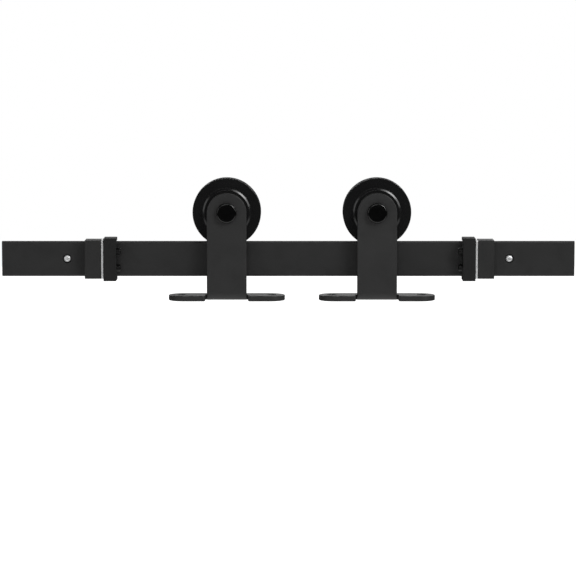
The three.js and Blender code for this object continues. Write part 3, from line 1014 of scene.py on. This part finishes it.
def make_lock_nut(side):
    """A hexagon with bevelled corners and a round collar that holds a nylon ring."""
    node = side + "_lock_nut"
    low, high = box(node)
    where = on_axis_of(node)
    end = low.y + NUT["height"]
    corner, flat = NUT["flats"] / math.sqrt(3), NUT["flats"] / 2
    bevel_radius = flat * NUT["bevel_start"]
    bevel = (corner - flat) * math.tan(math.radians(NUT["bevel_angle"]))
    collar, seat = NUT["collar"], NUT["insert"] + NUT["insert_gap"]
    seat_floor = end + NUT["insert_floor"]
    blank = soften([
        (NUT["bore"], low.y + NUT["bore_edge"]),
        (NUT["bore"] + NUT["bore_edge"], low.y),
        (bevel_radius, low.y),
        (corner, low.y + bevel + NUT["bevel"]),
        (corner, end - bevel - NUT["bevel"]),
        (bevel_radius, end),
        (collar + NUT["collar_taper"], end, NUT["collar_foot"]),
        (collar, high.y, NUT["collar_corner"]),
        (seat, high.y, NUT["insert_corner"]),
        (seat, seat_floor),
        (NUT["bore"], seat_floor),
    ], steps=3)
    shape = placed(turned(blank, closed=True), where)
    piece = new_piece(node + "_hexagon", shape, MATERIALS["zinc_plate"])
    hexagon = prism(NUT["flats"], low.y - PAST, high.y + PAST)
    combine(piece, "INTERSECT", placed(hexagon, where))
    finish_piece(piece, side + "_hanger", node, NUT["sharp_angle"])

    node = side + "_nylon_insert"
    low, high = box(node)
    shape = ring(NUT["bore"], NUT["insert"], low.y, high.y, COLLAR_EDGE)
    stands_for(node, "_ring", placed(shape, where), "blue_nylon", side + "_hanger")


def make_wheel(side):
    """A grooved roller with a raised hub, whose shoulder slopes, and a stepped bore."""
    node = side + "_wheel"
    low, high = box(node)
    centre = middle(node)
    radius = (high.z - low.z) / 2
    half, face = WHEEL["half_width"], (high.y - low.y) / 2
    foot, top, wall, edge = HUB["foot"], HUB["top"], half + HUB["wall"], HUB["edge"]
    rim, lip = WHEEL["rim_edge"], WHEEL["lip_edge"]
    groove, floor = WHEEL["groove_half_width"], WHEEL["groove_radius"]
    slope = groove + WHEEL["groove_slope"]
    seat = BEARING["outer"] + WHEEL["seat_gap"]
    undercut = seat + WHEEL["ring_depth"]
    front = [
        (WHEEL["front_bore"], -face, edge),
        (top, -face, edge),
        (foot, -wall, edge),
        (foot, -half, edge),
        (radius, -half, rim),
        (radius, -slope, lip),
        (floor, -groove, lip),
    ]
    rear = [
        (floor, groove, lip),
        (radius, slope, lip),
        (radius, half, rim),
        (foot, half, edge),
        (foot, wall, edge),
        (top, face, edge),
        (WHEEL["rear_bore"], face, lip),
        (WHEEL["rear_bore"], WHEEL["ring_rear"]),
        (undercut, WHEEL["ring_rear"]),
        (undercut, WHEEL["seat_rear"]),
        (seat, WHEEL["seat_rear"]),
        (seat, WHEEL["seat_front"]),
        (WHEEL["front_bore"], WHEEL["seat_front"], WHEEL["front_bore_edge"]),
    ]
    profile = soften(front + rear)
    material = black_nylon(side + "_black_nylon", centre * MM)
    shape = placed(turned(profile, AROUND["wheel"], closed=True), about(centre))
    piece = new_piece(node + "_grooved", shape, material)
    finish_piece(piece, side + "_wheel", node)


def make_bearing(side):
    """Races and shields in fine steel rings. The CAD model's own balls and cage get the steel too."""
    wheel, hanger = side + "_wheel", side + "_hanger"
    steel = bearing_steel(side + "_bearing_steel", middle(wheel) * MM)
    where = on_axis_of(wheel)
    race_edge, shield_edge = BEARING["race_edge"], BEARING["shield_edge"]
    shield_inside = BEARING["inner"] + BEARING["shield_gap"]
    shield_outside = BEARING["outer_inside"] - BEARING["shield_gap"]
    parts = (
        ("_inner_race", "_ground", BEARING["bore"], BEARING["inner"], race_edge, hanger),
        ("_outer_race", "_ground", BEARING["outer_inside"], BEARING["outer"], race_edge, wheel),
        ("_front_shield", "_disc", shield_inside, shield_outside, shield_edge, wheel),
        ("_rear_shield", "_disc", shield_inside, shield_outside, shield_edge, wheel),
    )
    for name, suffix, inner, outer, edge, body in parts:
        node = side + name
        low, high = box(node)
        shape = placed(ring(inner, outer, low.y, high.y, edge), where)
        piece = new_piece(node + suffix, shape, steel)
        finish_piece(piece, body, node)
    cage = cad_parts[side + "_ball_cage"]
    cage.data.materials.clear()
    cage.data.materials.append(steel)


def make_retaining_ring(side):
    """A spring ring, open at the bottom, with an eye at each end for the pliers."""
    node = side + "_retaining_ring"
    low, high = box(node)
    centre = middle(node)
    outer = (high.x - low.x) / 2
    thin, thick = RETAINING_RING["thin"], RETAINING_RING["thick"]
    lug_inside = RETAINING_RING["lug_inside"]
    lug_angle = math.radians(RETAINING_RING["lug_angle"])
    eye_angle = math.radians(RETAINING_RING["eye_angle"])
    eye_from_axle = RETAINING_RING["eye_from_axle"]
    gap = math.radians(RETAINING_RING["gap_angle"])
    around = [
        gap + (2 * math.pi - 2 * gap) * k / SPRING_STEPS
        for k in range(SPRING_STEPS + 1)
    ]
    outside = [(outer * math.sin(t), -outer * math.cos(t)) for t in around]
    inside = []
    for t in reversed(around):
        width = thin + (thick - thin) * (1 - math.cos(t)) / 2
        lug = max(0.0, 1 - min(t, 2 * math.pi - t) / lug_angle)
        beside_lug = 1 - min(1, lug * RETAINING_RING["lug_slope"])
        reach = min(outer - width, lug_inside + (outer - width - lug_inside) * beside_lug)
        inside.append((reach * math.sin(t), -reach * math.cos(t)))
    eyes = []
    for sign in SIDES.values():
        t = sign * eye_angle
        place = (eye_from_axle * math.sin(t), -eye_from_axle * math.cos(t))
        eyes.append(circle(place, RETAINING_RING["eye"], AROUND["eye"], clockwise=True))
    flat = plate(outside + inside, eyes, high.y - low.y, RETAINING_RING["edge"], steps=2)
    shape = placed(flat, lambda u, v, w: (centre.x + u, low.y + w, centre.z + v))
    stands_for(node, "_spring_ring", shape, "black_oxide", side + "_wheel")


# ---- End stops ----


def hook_outline(low, high, corner, lips):
    """A block in (y, z) that straddles the rail from the front; with lips it also hooks behind it."""
    rail_low, rail_high = box("rail")
    gap = HOOK["clearance"]
    front, top = rail_low.y - gap, rail_high.z + gap
    back, slot = rail_high.y + gap, HOOK["slot"] / 2
    lower = [(low.y, low.z, corner), (high.y, low.z, min(corner, HOOK["rear_corner"]))]
    if lips:
        lower += [
            (high.y, -slot, HOOK["slot_mouth"]),
            (back, -slot, HOOK["slot_corner"]),
            (back, -top, HOOK["back_corner"]),
        ]
    else:
        lower.append((high.y, -top, HOOK["side_corner"]))
    lower.append((front, -top, HOOK["front_corner"]))
    upper = [(u, -v, r) for u, v, r in reversed(lower)]
    return soften(lower + upper)


def cap_screw_cuts(prefix, low, high, sign, sunk):
    """The holes for a block's two cap screws, each with a recess for the head if it is sunk."""
    cuts = []
    outer = high.x if sign > 0 else low.x
    for level in LEVELS:
        screw = middle(prefix + level + "_cap_screw")
        place = (0, screw.y, screw.z)
        through = rod(CAP_SCREW["hole"], low.x - PAST, high.x + PAST)
        cuts.append(bar_along_x(through, place, AROUND["drill"]))
        if sunk:
            floor = outer - sign * CAP_SCREW["sunk"]
            mouth = CAP_SCREW["mouth"]
            recess = blind_hole(CAP_SCREW["recess"], floor, outer, mouth, outward=sign)
            cuts.append(bar_along_x(recess, place, AROUND["drill"]))
    return cuts


def set_screw_cuts(prefix, high):
    """The clamp's two holes from behind."""
    floor = high.y - SET_SCREW["hole_depth"]
    profile = blind_hole(SET_SCREW["hole"], floor, high.y, SET_SCREW["mouth"], outward=1)
    shape = turned(profile, AROUND["drill"])
    return [placed(shape, on_axis_of(prefix + level + "_set_screw")) for level in LEVELS]


def make_blocks(side):
    """The clamp, the plate beside it and the bumper, which all straddle the rail."""
    sign = SIDES[side]
    prefix = side + "_stop_"
    for name, suffix, slot in (
        ("clamp", "_block", "powder_coat"),
        # The backing plate's bright zinc edge between the dark clamp and bumper is a painted
        # highlight, standing in for the shine on a rounded block edge.
        ("backing_plate", "_highlight_sheet", "zinc_plate"),
        ("bumper", "_moulding", "black_rubber"),
    ):
        node = prefix + name
        low, high = box(node)
        edge, corner = BLOCKS[name]["edge"], BLOCKS[name]["corner"]
        is_clamp = name == "clamp"
        outline = hook_outline(low, high, corner, lips=is_clamp)
        shape = placed(plate(outline, [], high.x - low.x, edge, steps=4), along_rail(low))
        cuts = []
        if name != "bumper":
            cuts += cap_screw_cuts(prefix, low, high, sign, sunk=is_clamp)
        if is_clamp:
            cuts += set_screw_cuts(prefix, high)
        # The clamp takes the darker copy of the powder coat, whose lower shade is painted shade.
        material = SHADED_RAIL_COAT if is_clamp else None
        stands_for(node, suffix, shape, slot, side + "_stop", *cuts, material=material)


def outer_and_inner(low, high, sign):
    """A stop piece's x on its outer side, and on the side of the hangers."""
    return (high.x, low.x) if sign > 0 else (low.x, high.x)


def make_buffer(node, sign, body):
    """A rounded rubber stud. Its nose points at the hangers."""
    low, high = box(node)
    stem_end, nose = outer_and_inner(low, high, sign)
    root = nose + sign * BUFFER["length"]
    radius, stem = BUFFER["radius"], BUFFER["stem"]
    profile = soften([
        (0, nose),
        (radius, nose, BUFFER["nose"]),
        (radius, root),
        (stem, root),
        (stem, stem_end),
        (0, stem_end),
    ], closed=False)
    centre = middle(node)
    shape = bar_along_x(profile, (0, centre.y, centre.z), AROUND["buffer"])
    stands_for(node, "_stud", shape, "black_rubber", body, material=BUFFER_RUBBER)


def make_cap_screw(node, sign, body):
    """A cylinder head with a hexagonal socket, sunk in the clamp's outer face."""
    low, high = box(node)
    top, tip = outer_and_inner(low, high, sign)
    radius, shank = (high.z - low.z) / 2, CAP_SCREW["shank"]
    under = top - sign * CAP_SCREW["head"]
    profile = soften([
        (0, top),
        (radius, top, CAP_SCREW["head_edge"]),
        (radius, under, CAP_SCREW["under_edge"]),
        (shank, under),
        (shank, tip, CAP_SCREW["tip_edge"]),
        (0, tip),
    ], closed=False)
    centre = middle(node)
    shape = bar_along_x(profile, (0, centre.y, centre.z), AROUND["cap_screw"])
    ends = sorted((top - sign * CAP_SCREW["socket_depth"], top + sign * PAST))
    socket = prism(CAP_SCREW["socket"], *ends)
    socket = placed(socket, lambda x, y, z: (y, x + centre.y, z + centre.z))
    stands_for(node, "_socket_head", shape, "black_oxide", body, socket)


def make_set_screw(node, body):
    """A headless screw, threaded all along, with a hexagonal socket in its rear end."""
    low, high = box(node)
    where = on_axis_of(node)
    radius, pitch = (high.z - low.z) / 2, SET_SCREW["pitch"]
    start, end = low.y + SET_SCREW["front_bevel"], high.y - SET_SCREW["rear_bevel"]
    rows = rows_between(radius, start, end, pitch / ROWS_PER_TURN["set_screw"])
    profile = [
        (0, low.y),
        (radius - SET_SCREW["front_bevel"], low.y),
        *rows,
        (radius - SET_SCREW["rear_bevel"], high.y),
        (0, high.y),
    ]
    root = radius - SET_SCREW["thread_depth"]
    thread = helix_thread(root, pitch, start, end, SET_SCREW["run_in"])
    shape = placed(turned(profile, AROUND["set_screw"], thread=thread), where)
    socket_floor = high.y - SET_SCREW["socket_depth"]
    socket = placed(prism(SET_SCREW["socket"], socket_floor, high.y + PAST), where)
    stands_for(node, "_grub", shape, "black_oxide", body, socket)


def make_stop(side):
    sign = SIDES[side]
    body = side + "_stop"
    make_blocks(side)
    for level in LEVELS:
        prefix = side + "_stop_" + level
        make_buffer(prefix + "_buffer", sign, body)
        make_cap_screw(prefix + "_cap_screw", sign, body)
        make_set_screw(prefix + "_set_screw", body)


make_rail()
for side in SIDES:
    make_spacer(side)
    make_mounting_screw(side)
    make_bracket(side)
    make_axle_bolt(side)
    make_collars(side)
    make_lock_nut(side)
    make_wheel(side)
    make_bearing(side)
    make_retaining_ring(side)
    make_stop(side)

bpy.context.view_layer.update()
